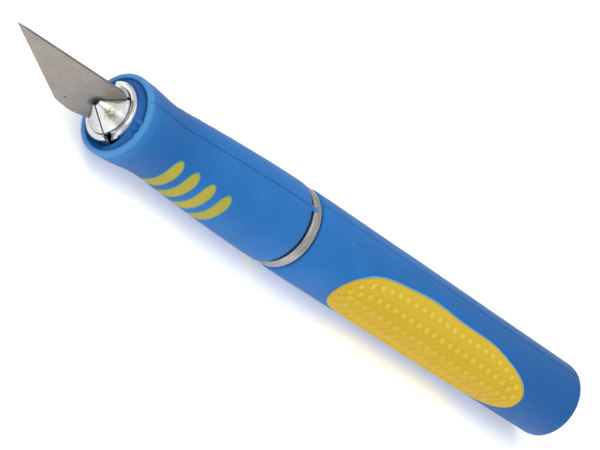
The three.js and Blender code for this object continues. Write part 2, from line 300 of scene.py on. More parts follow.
def pick(piece, kind, test=lambda part: True):
    """Goes into edit mode with just the vertices, edges or faces that pass the test selected."""
    only(piece)
    bpy.ops.object.mode_set(mode="EDIT")
    bpy.ops.mesh.select_mode(type=kind)
    bpy.ops.mesh.select_all(action="DESELECT")
    bpy.ops.object.mode_set(mode="OBJECT")
    mesh = piece.data
    parts = {"VERT": mesh.vertices, "EDGE": mesh.edges, "FACE": mesh.polygons}[kind]
    for part in parts:
        part.select = test(part)
    bpy.ops.object.mode_set(mode="EDIT")
    bpy.ops.mesh.select_mode(type=kind)


def added(name):
    """The primitive just added, named, with its place and size put into its mesh."""
    piece = bpy.context.view_layer.objects.active
    piece.name = piece.data.name = name
    bpy.ops.object.transform_apply(location=True, rotation=True, scale=True)
    return piece


def modified(piece, kind, **settings):
    """Adds a modifier and applies it."""
    only(piece)
    bpy.ops.object.modifier_add(type=kind)
    modifier = piece.modifiers[-1]
    for key, value in settings.items():
        setattr(modifier, key, value)
    bpy.ops.object.modifier_apply(modifier=modifier.name)


def copied(node, name):
    """A copy of a CAD node as a piece of its own, with its loose triangles merged."""
    only(NODES[node])
    bpy.ops.object.duplicate()
    piece = bpy.context.view_layer.objects.active
    piece.name = piece.data.name = name
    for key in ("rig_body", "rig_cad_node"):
        del piece[key]
    piece.parent = None
    piece.data.materials.clear()
    pick(piece, "VERT")
    bpy.ops.mesh.customdata_custom_splitnormals_clear()
    bpy.ops.mesh.remove_doubles(threshold=WELD)
    bpy.ops.object.mode_set(mode="OBJECT")
    return piece


def turned(node, name, meridian, sides):
    """A turned piece with a CAD node's profile: one meridian of a copy is kept, and spun round the axis."""
    beside = 0.5  # degrees from the meridian within which a vertex is kept
    piece = copied(node, name)
    pick(piece, "VERT", lambda v: radius(v.co) > NEAR and abs(turn(v.co) - meridian) > beside)
    bpy.ops.mesh.delete(type="VERT")
    bpy.ops.mesh.select_all(action="SELECT")
    bpy.ops.mesh.spin(steps=sides, angle=2 * math.pi, center=MOUTH, axis=(1, 0, 0))
    bpy.ops.mesh.select_all(action="SELECT")
    bpy.ops.mesh.remove_doubles(threshold=WELD)
    bpy.ops.mesh.normals_make_consistent(inside=False)
    bpy.ops.object.mode_set(mode="OBJECT")
    return piece


def bar(name, front, back, width_y, width_z, lean):
    """A bar across the handle's axis between two stations, leaning by a turn. Sizes in metres."""
    rest()
    middle = MOUTH - Vector(((front + back) / 2, 0, 0))
    scale = (back - front, width_y, width_z)
    bpy.ops.mesh.primitive_cube_add(size=1, location=middle, rotation=(-lean, 0, 0), scale=scale)
    return added(name)


def combined(piece, other, operation):
    """Joins another solid to a piece, or cuts it away."""
    modified(piece, "BOOLEAN", object=other, operation=operation, solver="EXACT")
    bpy.data.objects.remove(other)


def broken_edges(piece, width):
    """Small rounded chamfers on a piece's sharp edges."""
    flat = 0.5  # degrees: faces that lean less than this are one flat face
    pick(piece, "VERT")
    bpy.ops.mesh.dissolve_limited(angle_limit=math.radians(flat))
    modified(
        piece, "BEVEL", width=width, segments=2, limit_method="ANGLE", angle_limit=math.radians(SHARP),
        use_clamp_overlap=True, harden_normals=False,
    )


def marked(piece, attribute, share):
    """Writes an attribute that the rubber's material reads, as a share of 0 to 1 at each vertex."""
    layer = piece.data.attributes.new(attribute, "FLOAT", "POINT")
    for vertex, value in zip(piece.data.vertices, layer.data):
        value.value = min(max(share(vertex.co), 0), 1)


def finished(piece, node, material, sharp=SHARP):
    """Gives a piece its shading and finish, and lets it stand for its CAD node on that node's body."""
    only(piece)
    bpy.ops.object.shade_smooth_by_angle(angle=math.radians(sharp), keep_sharp_edges=False)
    piece.data.materials.clear()
    piece.data.materials.append(material)
    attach(piece, BODY[node])
    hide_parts(node)


# ---- Materials ----

NOISE, RANGE, MIX = "ShaderNodeTexNoise", "ShaderNodeMapRange", "ShaderNodeMix"
MAPPING, BUMP, MATHS = "ShaderNodeMapping", "ShaderNodeBump", "ShaderNodeMath"
ATTRIBUTE, APART = "ShaderNodeAttribute", "ShaderNodeVectorMath"
SHARE, FIRST, SECOND, MIXED = 0, 6, 7, 2  # the mix node's sockets when it mixes colours
SCUFF_BLUE = (0.6, 0.68, 0.76)  # linear colour of a pale scuff on rubber
HOLLOW_SHADE = "#2a2620"  # colour of the painted shade in the metal's slots, notches and joints


def add(tree, kind, inputs, output=0, **settings):
    """Adds a node with its settings, links or sets its inputs, and gives one of its outputs."""
    made = tree.nodes.new(kind)
    for key, value in settings.items():
        setattr(made, key, value)
    for key, value in inputs.items():
        if isinstance(value, bpy.types.NodeSocket):
            tree.links.new(value, made.inputs[key])
        else:
            made.inputs[key].default_value = value
    return made.outputs[output] if made.outputs else None


def blank(name):
    """A new material, its node tree and its Object coordinates."""
    material = bpy.data.materials.get(name) or bpy.data.materials.new(name)
    material.use_nodes = True
    tree = material.node_tree
    tree.nodes.clear()
    return material, tree, add(tree, "ShaderNodeTexCoord", {}, "Object")


def surface(tree, inputs):
    """The material's shader and output."""
    shader = add(tree, "ShaderNodeBsdfPrincipled", inputs)
    add(tree, "ShaderNodeOutputMaterial", {"Surface": shader})


def per(millimetres):
    """A texture's scale for features of this size."""
    return 1 / (millimetres * MM)


def rgba(colour, share=1.0):
    return [min(1.0, c * share) for c in colour] + [1.0]


def shaded_hollows(tree, colour, reach, dark, deepest=0.35, open_at=0.8):
    """A colour darkened by painted shade where the surface is hollow: in slots, grooves and along joints."""
    hollow = add(tree, "ShaderNodeAmbientOcclusion", {"Distance": reach * MM}, "AO", samples=8)
    share = add(tree, RANGE, {"Value": hollow, "From Min": deepest, "From Max": open_at})
    return add(tree, MIX, {SHARE: share, FIRST: dark, SECOND: colour}, MIXED, data_type="RGBA")


def moulded_rubber(name, colour, flow, painted_highlight, edge=None, painted_shade=None):
    """Thermoplastic rubber, moulded in a spark-eroded tool: a soft satin skin with a faint grain, slow
    changes of shade where the melt flowed, and a few pale scuffs. A painted highlight, a stained edge where
    two colours meet, which on the pads also holds painted shade and a painted highlight line, and painted
    shade are read from the piece's own attributes. Painted shade also darkens its grooves and joints."""
    material, tree, where = blank(name)
    slow = add(tree, NOISE, {"Vector": where, "Scale": per(7.0), "Detail": 1.0})
    slow = add(tree, RANGE, {"Value": slow, "From Min": 0.3, "From Max": 0.7})
    ends = {SHARE: slow, FIRST: rgba(colour, 1 - flow), SECOND: rgba(colour, 1 + flow)}
    tone = add(tree, MIX, ends, MIXED, data_type="RGBA")
    # The tool's real texture is about 0.05 mm, and is drawn coarser so that it shows.
    grain = add(tree, NOISE, {"Vector": where, "Scale": per(0.35), "Detail": 3.0, "Roughness": 0.6})
    grainy = add(tree, RANGE, {"Value": grain, "From Min": 0.3, "From Max": 0.7, "To Max": 0.14})
    scuff = add(tree, NOISE, {"Vector": where, "Scale": per(1.6), "Detail": 5.0, "Roughness": 0.75})
    scuffed = add(tree, RANGE, {"Value": scuff, "From Min": 0.64, "From Max": 0.8, "To Max": 0.3})
    layers = [(grainy, rgba(colour, 0.55)), (scuffed, rgba(SCUFF_BLUE))]
    # Painted shade, then a painted highlight, each read from an attribute of the piece.
    if painted_shade:
        layers.append((add(tree, ATTRIBUTE, {}, "Fac", attribute_name="painted_shade"), rgba(painted_shade)))
    layers.append((add(tree, ATTRIBUTE, {}, "Fac", attribute_name="painted_highlight"), rgba(painted_highlight)))
    # The edge band: a stain where the stripes' yellow meets the blue; on the pads, partly painted shade and a
    # painted highlight line.
    if edge:
        inner, outer = edge
        stain_and_painted_light = add(tree, ATTRIBUTE, {}, "Fac", attribute_name="stain_and_painted_light")
        share = add(tree, RANGE, {"Value": stain_and_painted_light, "From Min": 0.45, "From Max": 0.6})
        ends = {SHARE: share, FIRST: rgba(inner), SECOND: rgba(outer)}
        band = add(tree, MIX, ends, MIXED, data_type="RGBA")
        layers.append((add(tree, RANGE, {"Value": stain_and_painted_light, "From Min": 0.05, "From Max": 0.6}), band))
    for share, top in layers:
        tone = add(tree, MIX, {SHARE: share, FIRST: tone, SECOND: top}, MIXED, data_type="RGBA")
    # Painted shade in the grooves and joints.
    tone = shaded_hollows(tree, tone, reach=0.5, dark=rgba(colour, 0.3), deepest=0.2, open_at=0.9)
    normal = add(tree, BUMP, {"Height": grain, "Strength": 0.3, "Distance": 0.02 * MM})
    span = {"From Min": 0.3, "From Max": 0.7, "To Min": 0.46, "To Max": 0.58}
    roughness = add(tree, RANGE, {"Value": grain, **span})
    look = {"Base Color": tone, "Roughness": roughness, "IOR": 1.48, "Specular IOR Level": 0.28}
    surface(tree, {**look, "Normal": normal})
    return material


def ground_steel(name, colour):
    """Tool steel, ground flat and left bare: a grey satin face with short fine lines, a few specks, a dark
    spot where it leaves the jaws, and a painted shade line along the spine's corner. Painted shade also
    darkens it where it enters the jaws."""
    material, tree, where = blank(name)
    # The real lines are about 0.03 mm apart, and are drawn coarser so that they show.
    lean = math.radians(12)  # of the grinding lines
    lines = add(tree, MAPPING, {"Vector": where, "Scale": (1, 1, 0.35), "Rotation": (0, lean, 0)})
    grinding = add(tree, NOISE, {"Vector": lines, "Scale": per(0.26), "Detail": 4.0, "Roughness": 0.7})
    cloud = add(tree, NOISE, {"Vector": where, "Scale": per(3.5), "Detail": 2.0})
    share = add(tree, RANGE, {"Value": cloud, "From Min": 0.3, "From Max": 0.7})
    ends = {SHARE: share, FIRST: rgba(colour, 0.9), SECOND: rgba(colour, 1.06)}
    tone = add(tree, MIX, ends, MIXED, data_type="RGBA")
    lined = add(tree, RANGE, {"Value": grinding, "From Min": 0.35, "From Max": 0.65, "To Max": 0.5})
    speck = add(tree, "ShaderNodeTexVoronoi", {"Vector": where, "Scale": per(5.5)})
    specked = add(tree, RANGE, {"Value": speck, "From Min": 0.03, "From Max": 0.06, "To Min": 1, "To Max": 0})
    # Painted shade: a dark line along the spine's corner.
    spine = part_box("blade")[1].z
    height = add(tree, "ShaderNodeSeparateXYZ", {"Vector": where}, "Z")
    span = {"From Min": spine - 0.14 * MM, "From Max": spine - 0.04 * MM, "To Max": 0.4}
    spine_shade = add(tree, RANGE, {"Value": height, **span})
    # A dark spot on the blade's face beside the jaws' tips.
    dark_spot = MOUTH + MM * Vector((3.9, 0.25, 0.2))  # its middle, on the blade's left face at the nose
    away = add(tree, APART, {0: where, 1: dark_spot}, "Value", operation="DISTANCE")
    away = add(tree, MATHS, {0: grinding, 1: 1.2 * MM, 2: away}, operation="MULTIPLY_ADD")
    span = {"From Min": 1.3 * MM, "From Max": 2.5 * MM, "To Min": 0.97, "To Max": 0}
    dark_spot_share = add(tree, RANGE, {"Value": away, **span})
    for share, level in ((lined, 0.6), (specked, 0.2), (spine_shade, 0.2), (dark_spot_share, 0.1)):
        mix = {SHARE: share, FIRST: tone, SECOND: rgba(colour, level)}
        tone = add(tree, MIX, mix, MIXED, data_type="RGBA")
    # Painted shade where the blade enters the jaws.
    tone = shaded_hollows(tree, tone, reach=0.6, dark=rgba(colour, 0.3), deepest=0.3, open_at=0.9)
    normal = add(tree, BUMP, {"Height": grinding, "Strength": 0.3, "Distance": 0.012 * MM})
    span = {"From Min": 0.3, "From Max": 0.7, "To Min": 0.3, "To Max": 0.44}
    roughness = add(tree, RANGE, {"Value": grinding, **span})
    surface(tree, {"Base Color": tone, "Metallic": 1.0, "Roughness": roughness, "Normal": normal})
    return material


def turned_metal(name, colour, line, depth, gloss, streak, hollow_shade_reach=0.45, painted_reflection=None):
    """Metal turned on a lathe: fine rings round the axis, with a gloss that depends on the cut. A piece may
    carry a mottled olive patch on one of its faces, a painted reflection. Painted shade darkens its slots,
    notches and joints."""
    material, tree, where = blank(name)
    rings = add(tree, MAPPING, {"Vector": where, "Scale": (1, 0.08, 0.08)})
    cut = add(tree, NOISE, {"Vector": rings, "Scale": per(line), "Detail": 4.0, "Roughness": 0.75})
    share = add(tree, RANGE, {"Value": cut, "From Min": 0.35, "From Max": 0.65})
    ends = {SHARE: share, FIRST: rgba(colour, 1 - streak), SECOND: rgba(colour, 1 + 0.3 * streak)}
    tone = add(tree, MIX, ends, MIXED, data_type="RGBA")
    span = {"From Min": 0.3, "From Max": 0.7, "To Min": gloss - 0.05, "To Max": gloss + 0.07}
    roughness = add(tree, RANGE, {"Value": cut, **span})
    # Painted reflection: a mottled olive patch mixed into the colour round one spot.
    if painted_reflection:
        reflection_spot, stain_and_painted_light = painted_reflection
        away = add(tree, APART, {0: where, 1: reflection_spot}, "Value", operation="DISTANCE")
        span = {"From Min": 0.5 * MM, "From Max": 1.7 * MM, "To Min": 1, "To Max": 0}
        near = add(tree, RANGE, {"Value": away, **span})
        mottle = add(tree, NOISE, {"Vector": where, "Scale": per(0.5), "Detail": 3.0, "Roughness": 0.7})
        mottle = add(tree, RANGE, {"Value": mottle, "From Min": 0.36, "From Max": 0.52})
        share = add(tree, MATHS, {0: near, 1: mottle}, operation="MULTIPLY")
        tone = add(tree, MIX, {SHARE: share, FIRST: tone, SECOND: rgba(stain_and_painted_light)}, MIXED, data_type="RGBA")
    # Painted shade in the slots, notches and joints.
    tone = shaded_hollows(tree, tone, reach=hollow_shade_reach, dark=rgba(linear(HOLLOW_SHADE)), deepest=0.3, open_at=0.75)
    normal = add(tree, BUMP, {"Height": cut, "Strength": 0.3, "Distance": depth * MM})
    surface(tree, {"Base Color": tone, "Metallic": 1.0, "Roughness": roughness, "Normal": normal})
    return material


def moulded_plastic(name, colour):
    """Glass-filled nylon, moulded: a dark dull skin with a fine leathery grain."""
    material, tree, where = blank(name)
    grain = add(tree, NOISE, {"Vector": where, "Scale": per(0.5), "Detail": 3.0})
    share = add(tree, RANGE, {"Value": grain, "From Min": 0.3, "From Max": 0.7})
    ends = {SHARE: share, FIRST: rgba(colour, 0.8), SECOND: rgba(colour, 1.2)}
    tone = add(tree, MIX, ends, MIXED, data_type="RGBA")
    normal = add(tree, BUMP, {"Height": grain, "Strength": 0.3, "Distance": 0.03 * MM})
    surface(tree, {"Base Color": tone, "Roughness": 0.6, "IOR": 1.5, "Normal": normal})
    return material


def paper(name, colour, glow):
    """Seamless studio paper on a light table: white and matte, with a faint tooth and a little light from
    below."""
    material, tree, where = blank(name)
    tooth = add(tree, NOISE, {"Vector": where, "Scale": per(1.2), "Detail": 2.0})
    share = add(tree, RANGE, {"Value": tooth, "From Min": 0.3, "From Max": 0.7})
    ends = {SHARE: share, FIRST: rgba(colour, 0.985), SECOND: rgba(colour)}
    tone = add(tree, MIX, ends, MIXED, data_type="RGBA")
    look = {"Base Color": tone, "Roughness": 0.9, "IOR": 1.5, "Specular IOR Level": 0.2}
    surface(tree, {**look, "Emission Color": (1, 1, 1, 1), "Emission Strength": glow})
    return material


# ---- Operators ----


class CRAFTKNIFE_OT_blade(Operator):
    """Models the fine-point blade with its edges softened"""

    bl_idname = "craftknife.blade"
    bl_label = "Blade"

    def execute(self, context):
        settings = context.scene.craft_knife_blade
        blade = copied("blade", "fine_point_blade")
        broken_edges(blade, settings.edge_round)
        finished(blade, "blade", ground_steel("ground_tool_steel", settings.steel), BLADE_SHARP)
        return {"FINISHED"}


class CRAFTKNIFE_OT_chuck(Operator):
    """Models the four-jaw collet and the chuck's barrel"""

    bl_idname = "craftknife.chuck"
    bl_label = "Chuck"

    def execute(self, context):
        s = context.scene.craft_knife_chuck
        metal = turned_metal(
            "bright_turned_metal", s.metal, line=0.3, depth=0.006, gloss=0.2, streak=0.2, hollow_shade_reach=1.6
        )
        ahead, out = 1.9, 2.7  # the painted reflection's middle, in millimetres from the mouth and from the axis
        reflection_spot = MOUTH + MM * Vector((ahead, out * math.sin(s.reflection_turn), out * math.cos(s.reflection_turn)))
        jaw_metal = turned_metal(
            "bright_metal_with_painted_reflection", s.metal, line=0.4, depth=0.004, gloss=0.22, streak=0.14,
            painted_reflection=(reflection_spot, s.painted_reflection),
        )
        reach = 30 * MM  # more than the chuck's width and its nose's length, so that a cut runs right through

        collet = turned("collet", "four_jaw_collet", METAL_MERIDIAN, s.sides)
        vertices = collet.data.vertices
        nose = max(v.co.x for v in vertices)
        pick(collet, "EDGE", lambda e: all(nose - vertices[i].co.x < NEAR * MM for i in e.vertices))
        bpy.ops.mesh.edge_face_add()
        bpy.ops.mesh.select_all(action="SELECT")
        bpy.ops.mesh.normals_make_consistent(inside=False)
        rim = max(radius(v.co) for v in collet.data.vertices)
        pick(collet, "VERT", lambda v: radius(v.co) > rim - NEAR)
        grown = 1 + s.head_growth / (rim * MM)
        bpy.ops.transform.resize(value=(1, grown, grown), center_override=MOUTH)
        back = s.ear_setback + s.ear_length
        ears = bar("ears", s.ear_setback, back, 2 * s.ear_reach, s.ear_width, s.key_turn)
        combined(collet, ears, "UNION")
        slot = bar("blade_slot", -reach, s.slit_depth, s.blade_slot, reach, 0)
        combined(collet, slot, "DIFFERENCE")
        slit = bar("cross_slit", -reach, s.slit_depth, reach, s.cross_slit, s.cross_slit_turn)
        combined(collet, slit, "DIFFERENCE")
        broken_edges(collet, s.edge_break)
        finished(collet, "collet", jaw_metal)

        barrel = turned("chuck_barrel", "chuck_barrel_turned", METAL_MERIDIAN, s.sides)
        notches = bar("notches", -s.notch_depth, s.notch_depth, reach, s.notch_width, s.key_turn)
        combined(barrel, notches, "DIFFERENCE")
        broken_edges(barrel, s.edge_break)
        finished(barrel, "chuck_barrel", metal)
        return {"FINISHED"}


FRONT_SKIN, REAR_SKIN = 6.7, 6.5  # millimetres: a parting line runs over what lies outside this radius
USUAL_RADIUS = 7.5  # millimetres: where a parting line is as deep as its setting says


def parting_line(grip, width, depth, meridian, least_radius):
    """Sinks a parting line into a grip's skin, along the edges at a turn and opposite it."""
    beside = 0.2  # degrees from the line within which a vertex counts as on it
    vertices = grip.data.vertices

    def on_line(vertex):
        off = (turn(vertex.co) - meridian) % 180
        return min(off, 180 - off) < beside and radius(vertex.co) > least_radius

    pick(grip, "EDGE", lambda e: all(on_line(vertices[i]) for i in e.vertices))
    bpy.ops.mesh.bevel(offset=width / 2, offset_type="OFFSET", segments=2, affect="EDGES")
    pick(grip, "VERT", on_line)
    shrink = 1 - depth / (USUAL_RADIUS * MM)
    bpy.ops.transform.resize(value=(1, shrink, shrink), center_override=MOUTH)
    bpy.ops.object.mode_set(mode="OBJECT")


LIP_LENGTH = 1.0  # millimetres: the lip's widest part lies this near the grip's front end
LIP_WALL = 1.2  # millimetres: what lies this far inside the lip's outside is the recess's floor or the bore
LIP_SKIN = 0.4  # millimetres: what lies this far inside it is the lip's inner wall
SHALLOW_TURN = 30  # degrees: where round the lip its recess is shallowest
WRINKLE_TURN, WRINKLE_REACH = 50, 30  # degrees: the middle of the lip's wrinkles, and how far they run
FOLDS, FINE_FOLDS, FINE_SHARE = 17, 29, 0.6  # wrinkles in a full turn, finer ones, and their share
SWELLS, SWELL_START = 6, 60  # slower waves in a full turn that the wrinkles fade with, and their start


def soft_lip(grip, collar, settings):
    """Brings the recess inside a grip's front lip up to the barrel's collar, least on the knife's underside,
    and wrinkles the lip's inner wall on its upper left."""
    front = min(station(v.co) for v in grip.data.vertices)
    outside = max(radius(v.co) for v in grip.data.vertices if station(v.co) < front + LIP_LENGTH)
    bore = outside - LIP_WALL
    floor = min(station(v.co) for v in grip.data.vertices if radius(v.co) < bore)
    snug = collar + settings.recess_gap / MM
    margin = 0.1  # millimetres between the wrinkled wall and the recess's floor
    for vertex in grip.data.vertices:
        co = vertex.co
        around, out, where = turn(co), radius(co), station(co)
        grown = 1.0
        if abs(where - floor) < 0.5 * margin and out < bore:
            co.x += settings.recess_rise * (0.5 + 0.5 * math.cos(math.radians(around - SHALLOW_TURN)))
            grown = snug / out
        elif where < floor - margin and out < outside - LIP_SKIN:
            ripple = math.sin(math.radians(FOLDS * around))
            ripple *= math.sin(math.radians(SWELLS * around + SWELL_START))
            ripple += FINE_SHARE * math.sin(math.radians(FINE_FOLDS * around))
            fade = math.exp(-(((around - WRINKLE_TURN) / WRINKLE_REACH) ** 2))
            grown += ripple * fade * settings.wrinkle / (out * MM)
        co.y = MOUTH.y + grown * (co.y - MOUTH.y)
        co.z = MOUTH.z + grown * (co.z - MOUTH.z)


def flash(grip, settings):
    """A small rounded tongue of flash at the parting line, from a grip's rear end over the ring."""
    rest()
    rear = min(v.co.x for v in grip.data.vertices)
    out = max(radius(v.co) for v in grip.data.vertices if v.co.x - rear < NEAR * MM) * MM
    around = math.radians(GRIP_MERIDIAN)
    middle = out + 0.5 * settings.flash_height
    bpy.ops.mesh.primitive_cube_add(
        size=1,
        location=(rear, MOUTH.y + middle * math.sin(around), MOUTH.z + middle * math.cos(around)),
        rotation=(-around, 0, 0),
        scale=(2 * settings.flash_length, settings.flash_width, settings.flash_height),
    )
    tongue = added("flash")
    nearly_half = 0.49  # of its thickness, so that its edges are round and don't meet
    modified(tongue, "BEVEL", width=nearly_half * settings.flash_height, segments=3)
    return tongue


LIP_INSIDE = 6.8  # millimetres: radius of the lip's inner side
PALE_LENGTH, PALE_FADE = 1.3, 0.4  # millimetres: how far the lip is painted paler as a highlight, and how it fades out
RECESS_REACH = 3.0  # millimetres behind the lip's front, where the recess's wall is painted dark as shade
SHADED_WAIST, SHADED_WAIST_REACH = 12, 8  # stations: the middle of the waist's painted shade, and how far it spreads
TAIL_SHADE, TAIL_REACH = 98, 22  # stations: where painted shade starts to darken the rear grip towards its tail, and over how far
RING_STATION = 52  # station behind which the painted shade at the ring fades out


class CRAFTKNIFE_OT_grips(Operator):
    """Models the two soft grips with their parting lines, the front lip's wrinkles and the tongue of flash"""

    bl_idname = "craftknife.grips"
    bl_label = "Grips"

    def execute(self, context):
        s = context.scene.craft_knife_grips
        rubber = moulded_rubber(
            "blue_thermoplastic_rubber", s.rubber, flow=0.07, painted_highlight=s.lip_highlight_blue, painted_shade=s.shade_blue
        )

        front = turned("front_grip", "front_rubber_grip", GRIP_MERIDIAN, s.sides)
        parting_line(front, s.groove_width, s.groove_depth, GRIP_MERIDIAN, FRONT_SKIN)
        collar = max(radius(v.co) for v in NODES["chuck_barrel"].data.vertices if station(v.co) < 1)
        soft_lip(front, collar, s)
        combined(front, flash(front, s), "UNION")
        places = [station(v.co) for v in NODES["front_grip"].data.vertices]
        lip, rear_end = min(places), max(places)
        margin = 0.1  # millimetres, to tell the flash from the grip and the recess from the lip

        # Painted highlight: the lip's front is painted paler, and the tongue of flash is painted paler too.
        def lip_highlight(co):
            if station(co) > rear_end + margin:  # the tongue of flash
                return 0.5
            return 0.75 * min(1, (lip + PALE_LENGTH - station(co)) / PALE_FADE) * (radius(co) > LIP_INSIDE)

        # Painted shade: dark on the recess's wall, and darker at the waist.
        def front_shade(co):
            if radius(co) < LIP_INSIDE - margin and station(co) < lip + RECESS_REACH:
                return 0.8
            return 0.75 * math.exp(-(((station(co) - SHADED_WAIST) / SHADED_WAIST_REACH) ** 2))

        marked(front, "painted_highlight", lip_highlight)
        marked(front, "painted_shade", front_shade)
        finished(front, "front_grip", rubber, GRIP_SHARP)

        # Painted shade: darker just behind the ring and towards the tail.
        def rear_shade(co):
            at_ring = 0.3 * math.exp(RING_STATION - station(co))
            return 0.85 * (station(co) - TAIL_SHADE) / TAIL_REACH + at_ring

        rear = turned("rear_grip", "rear_rubber_grip", -GRIP_MERIDIAN, s.sides)
        parting_line(rear, s.groove_width, s.groove_depth, -GRIP_MERIDIAN, REAR_SKIN)
        marked(rear, "painted_shade", rear_shade)
        finished(rear, "rear_grip", rubber, GRIP_SHARP)
        return {"FINISHED"}


class CRAFTKNIFE_OT_ring(Operator):
    """Models the satin ring between the grips"""

    bl_idname = "craftknife.ring"
    bl_label = "Middle ring"

    def execute(self, context):
        s = context.scene.craft_knife_grips
        ring = turned("middle_ring", "satin_ring", GRIP_MERIDIAN, s.sides)
        front = min(station(v.co) for v in ring.data.vertices)
        face = 0.5  # millimetres: the front face and its chamfer lie this near the front
        pick(ring, "VERT", lambda v: station(v.co) < front + face)
        bpy.ops.transform.translate(value=(-s.ring_gap, 0, 0))
        broken_edges(ring, s.ring_break)
        satin = turned_metal("satin_aluminium", s.ring, line=0.3, depth=0.02, gloss=0.38, streak=0.45)
        finished(ring, "middle_ring", satin)
        return {"FINISHED"}


INLAY_DEPTH = 0.5 * MM  # of a stripe's or a pad's plate, under its skin
STRIPE_STRETCH, PAD_STRETCH = 1.8, 2.0  # how much longer than wide the rounding of their ends is
STRIPE_CUTS, PAD_CUTS = (3, 20), (26, 30)  # strips along and across that they are cut in to be rolled
STRIPE_RIM = ((0.26, 0.5), (0.24, 0.3), (0.3, 0.2))  # each step's millimetres inwards and share of the rise
PAD_RIM = ((0.28, 0.45), (0.34, 0.3), (0.4, 0.15), (0.8, 0.1))


def plate(name, length, width, stretch, depth, rim, cuts):
    """A flat plate along X or Y with elliptical ends and a soft rim, cut in X and Y often enough to be
    rolled. Sizes in metres. The rim lists the width and the rise of each step, and starts at height 0."""
    rest()
    along_x = length > width
    pull = (stretch, 1, 1) if along_x else (1, stretch, 1)
    middle = (0, 0, -depth)
    bpy.ops.mesh.primitive_plane_add(size=1, location=middle)
    piece = added(name)
    pick(piece, "VERT")
    bpy.ops.transform.resize(value=(length / pull[0], width / pull[1], 1), center_override=middle)
    nearly_half = 0.499  # of the shorter side, so that neighbouring corners just don't meet
    corner = nearly_half * min(length / pull[0], width / pull[1])
    bpy.ops.mesh.bevel(offset=corner, segments=12, profile=0.5, affect="VERTICES")
    bpy.ops.mesh.select_all(action="SELECT")
    bpy.ops.mesh.remove_doubles(threshold=0.02 * corner)
    bpy.ops.transform.resize(value=pull, center_override=middle)
    pick(piece, "FACE")
    bpy.ops.mesh.extrude_region_move(TRANSFORM_OT_translate={"value": (0, 0, depth)})
    for step, rise in rim:
        bpy.ops.mesh.inset(thickness=step, depth=rise)
    for across, extent, count in (((1, 0, 0), length, cuts[0]), ((0, 1, 0), width, cuts[1])):
        for place in range(1, count):
            bpy.ops.mesh.select_all(action="SELECT")
            where = extent * (place / count - 0.5) * Vector(across)
            bpy.ops.mesh.bisect(plane_co=where, plane_no=across)
    only(piece)
    return piece


def rolled(piece, side, middle, centre, radius_at, lean=0.0):
    """Rolls a flat piece round a grip, about a station and a turn. Its X lies along the axis, its Y goes up
    round the grip and its Z outwards."""
    for vertex in piece.data.vertices:
        x, round_grip, height = vertex.co / MM
        where = middle - x - lean * round_grip
        skin_radius = radius_at(where)
        around = math.radians(centre) - side * round_grip / skin_radius
        out = skin_radius + height
        vertex.co = MOUTH + MM * Vector((-where, out * math.sin(around), out * math.cos(around)))
    if side > 0:  # that roll mirrors the piece on this side
        pick(piece, "FACE")
        bpy.ops.mesh.flip_normals()
        bpy.ops.object.mode_set(mode="OBJECT")


class CRAFTKNIFE_OT_stripes(Operator):
    """Models the yellow finger stripes on the front grip"""

    bl_idname = "craftknife.stripes"
    bl_label = "Finger stripes"

    def execute(self, context):
        s = context.scene.craft_knife_inlays
        rubber = moulded_rubber(
            "yellow_stripe_rubber", s.stripe_yellow, flow=0.04, painted_highlight=s.highlight_yellow, edge=(s.olive, s.teal)
        )
        radius_at = skin("front_grip")
        rise = s.stripe_crown
        rim = [(step * MM, share * rise) for step, share in STRIPE_RIM]
        width, length = s.stripe_width, s.stripe_length
        flat = plate("stripe", width, length, STRIPE_STRETCH, INLAY_DEPTH, rim, STRIPE_CUTS)
        clean = 0.85 * rise  # the rim's stain ends at this height
        marked(flat, "stain_and_painted_light", lambda co: 1 - co.z / clean)
        for word, side in SIDES.items():
            for index in range(s.stripe_count):
                node = f"finger_stripe_{word}_{index + 1}"
                low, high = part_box(node)
                only(flat)
                bpy.ops.object.duplicate()
                stripe = added(f"yellow_stripe_{word}_{index + 1}")
                middle = station((low + high) / 2)
                rolled(stripe, side, middle, turns(node)[0], radius_at, s.stripe_lean / length)
                finished(stripe, node, rubber, INLAY_SHARP)
        bpy.data.objects.remove(flat)
        return {"FINISHED"}


BUMP_FOOT = -0.1  # how far a bump is sunk in its pad, as a share of its height
BELL = ((1.0, 0.0), (0.84, 0.1), (0.66, 0.38), (0.44, 0.76), (0.2, 0.97))  # shares of its radius and height


def bump(width, height):
    """One bump of a pad: a disc drawn up into a low bell that runs out flat at its foot."""
    rest()
    bpy.ops.mesh.primitive_circle_add(vertices=12, radius=width / 2, fill_type="NGON")
    piece = added("bump")
    pick(piece, "FACE")
    reach, level = 1.0, BUMP_FOOT
    for next_reach, next_level in BELL:
        rise = (0, 0, (next_level - level) * height)
        bpy.ops.mesh.extrude_region_move(TRANSFORM_OT_translate={"value": rise})
        shrink = next_reach / reach
        bpy.ops.transform.resize(value=(shrink, shrink, 1), center_override=(0, 0, 0))
        reach, level = next_reach, next_level
    only(piece)
    return piece


LEAST_EDGE_SHADE, EDGE_SHADE_RISE = 0.3, 0.3  # of the full painted shade and highlight line on a pad's lower half, and of its width to the full
WAVE_LENGTH = 3.1 * MM  # for a radian of the upper edge's wandering
TAPER_START, TAPER_LENGTH = 0.15, 0.6  # of half a pad, from its middle: where its upper edge dips


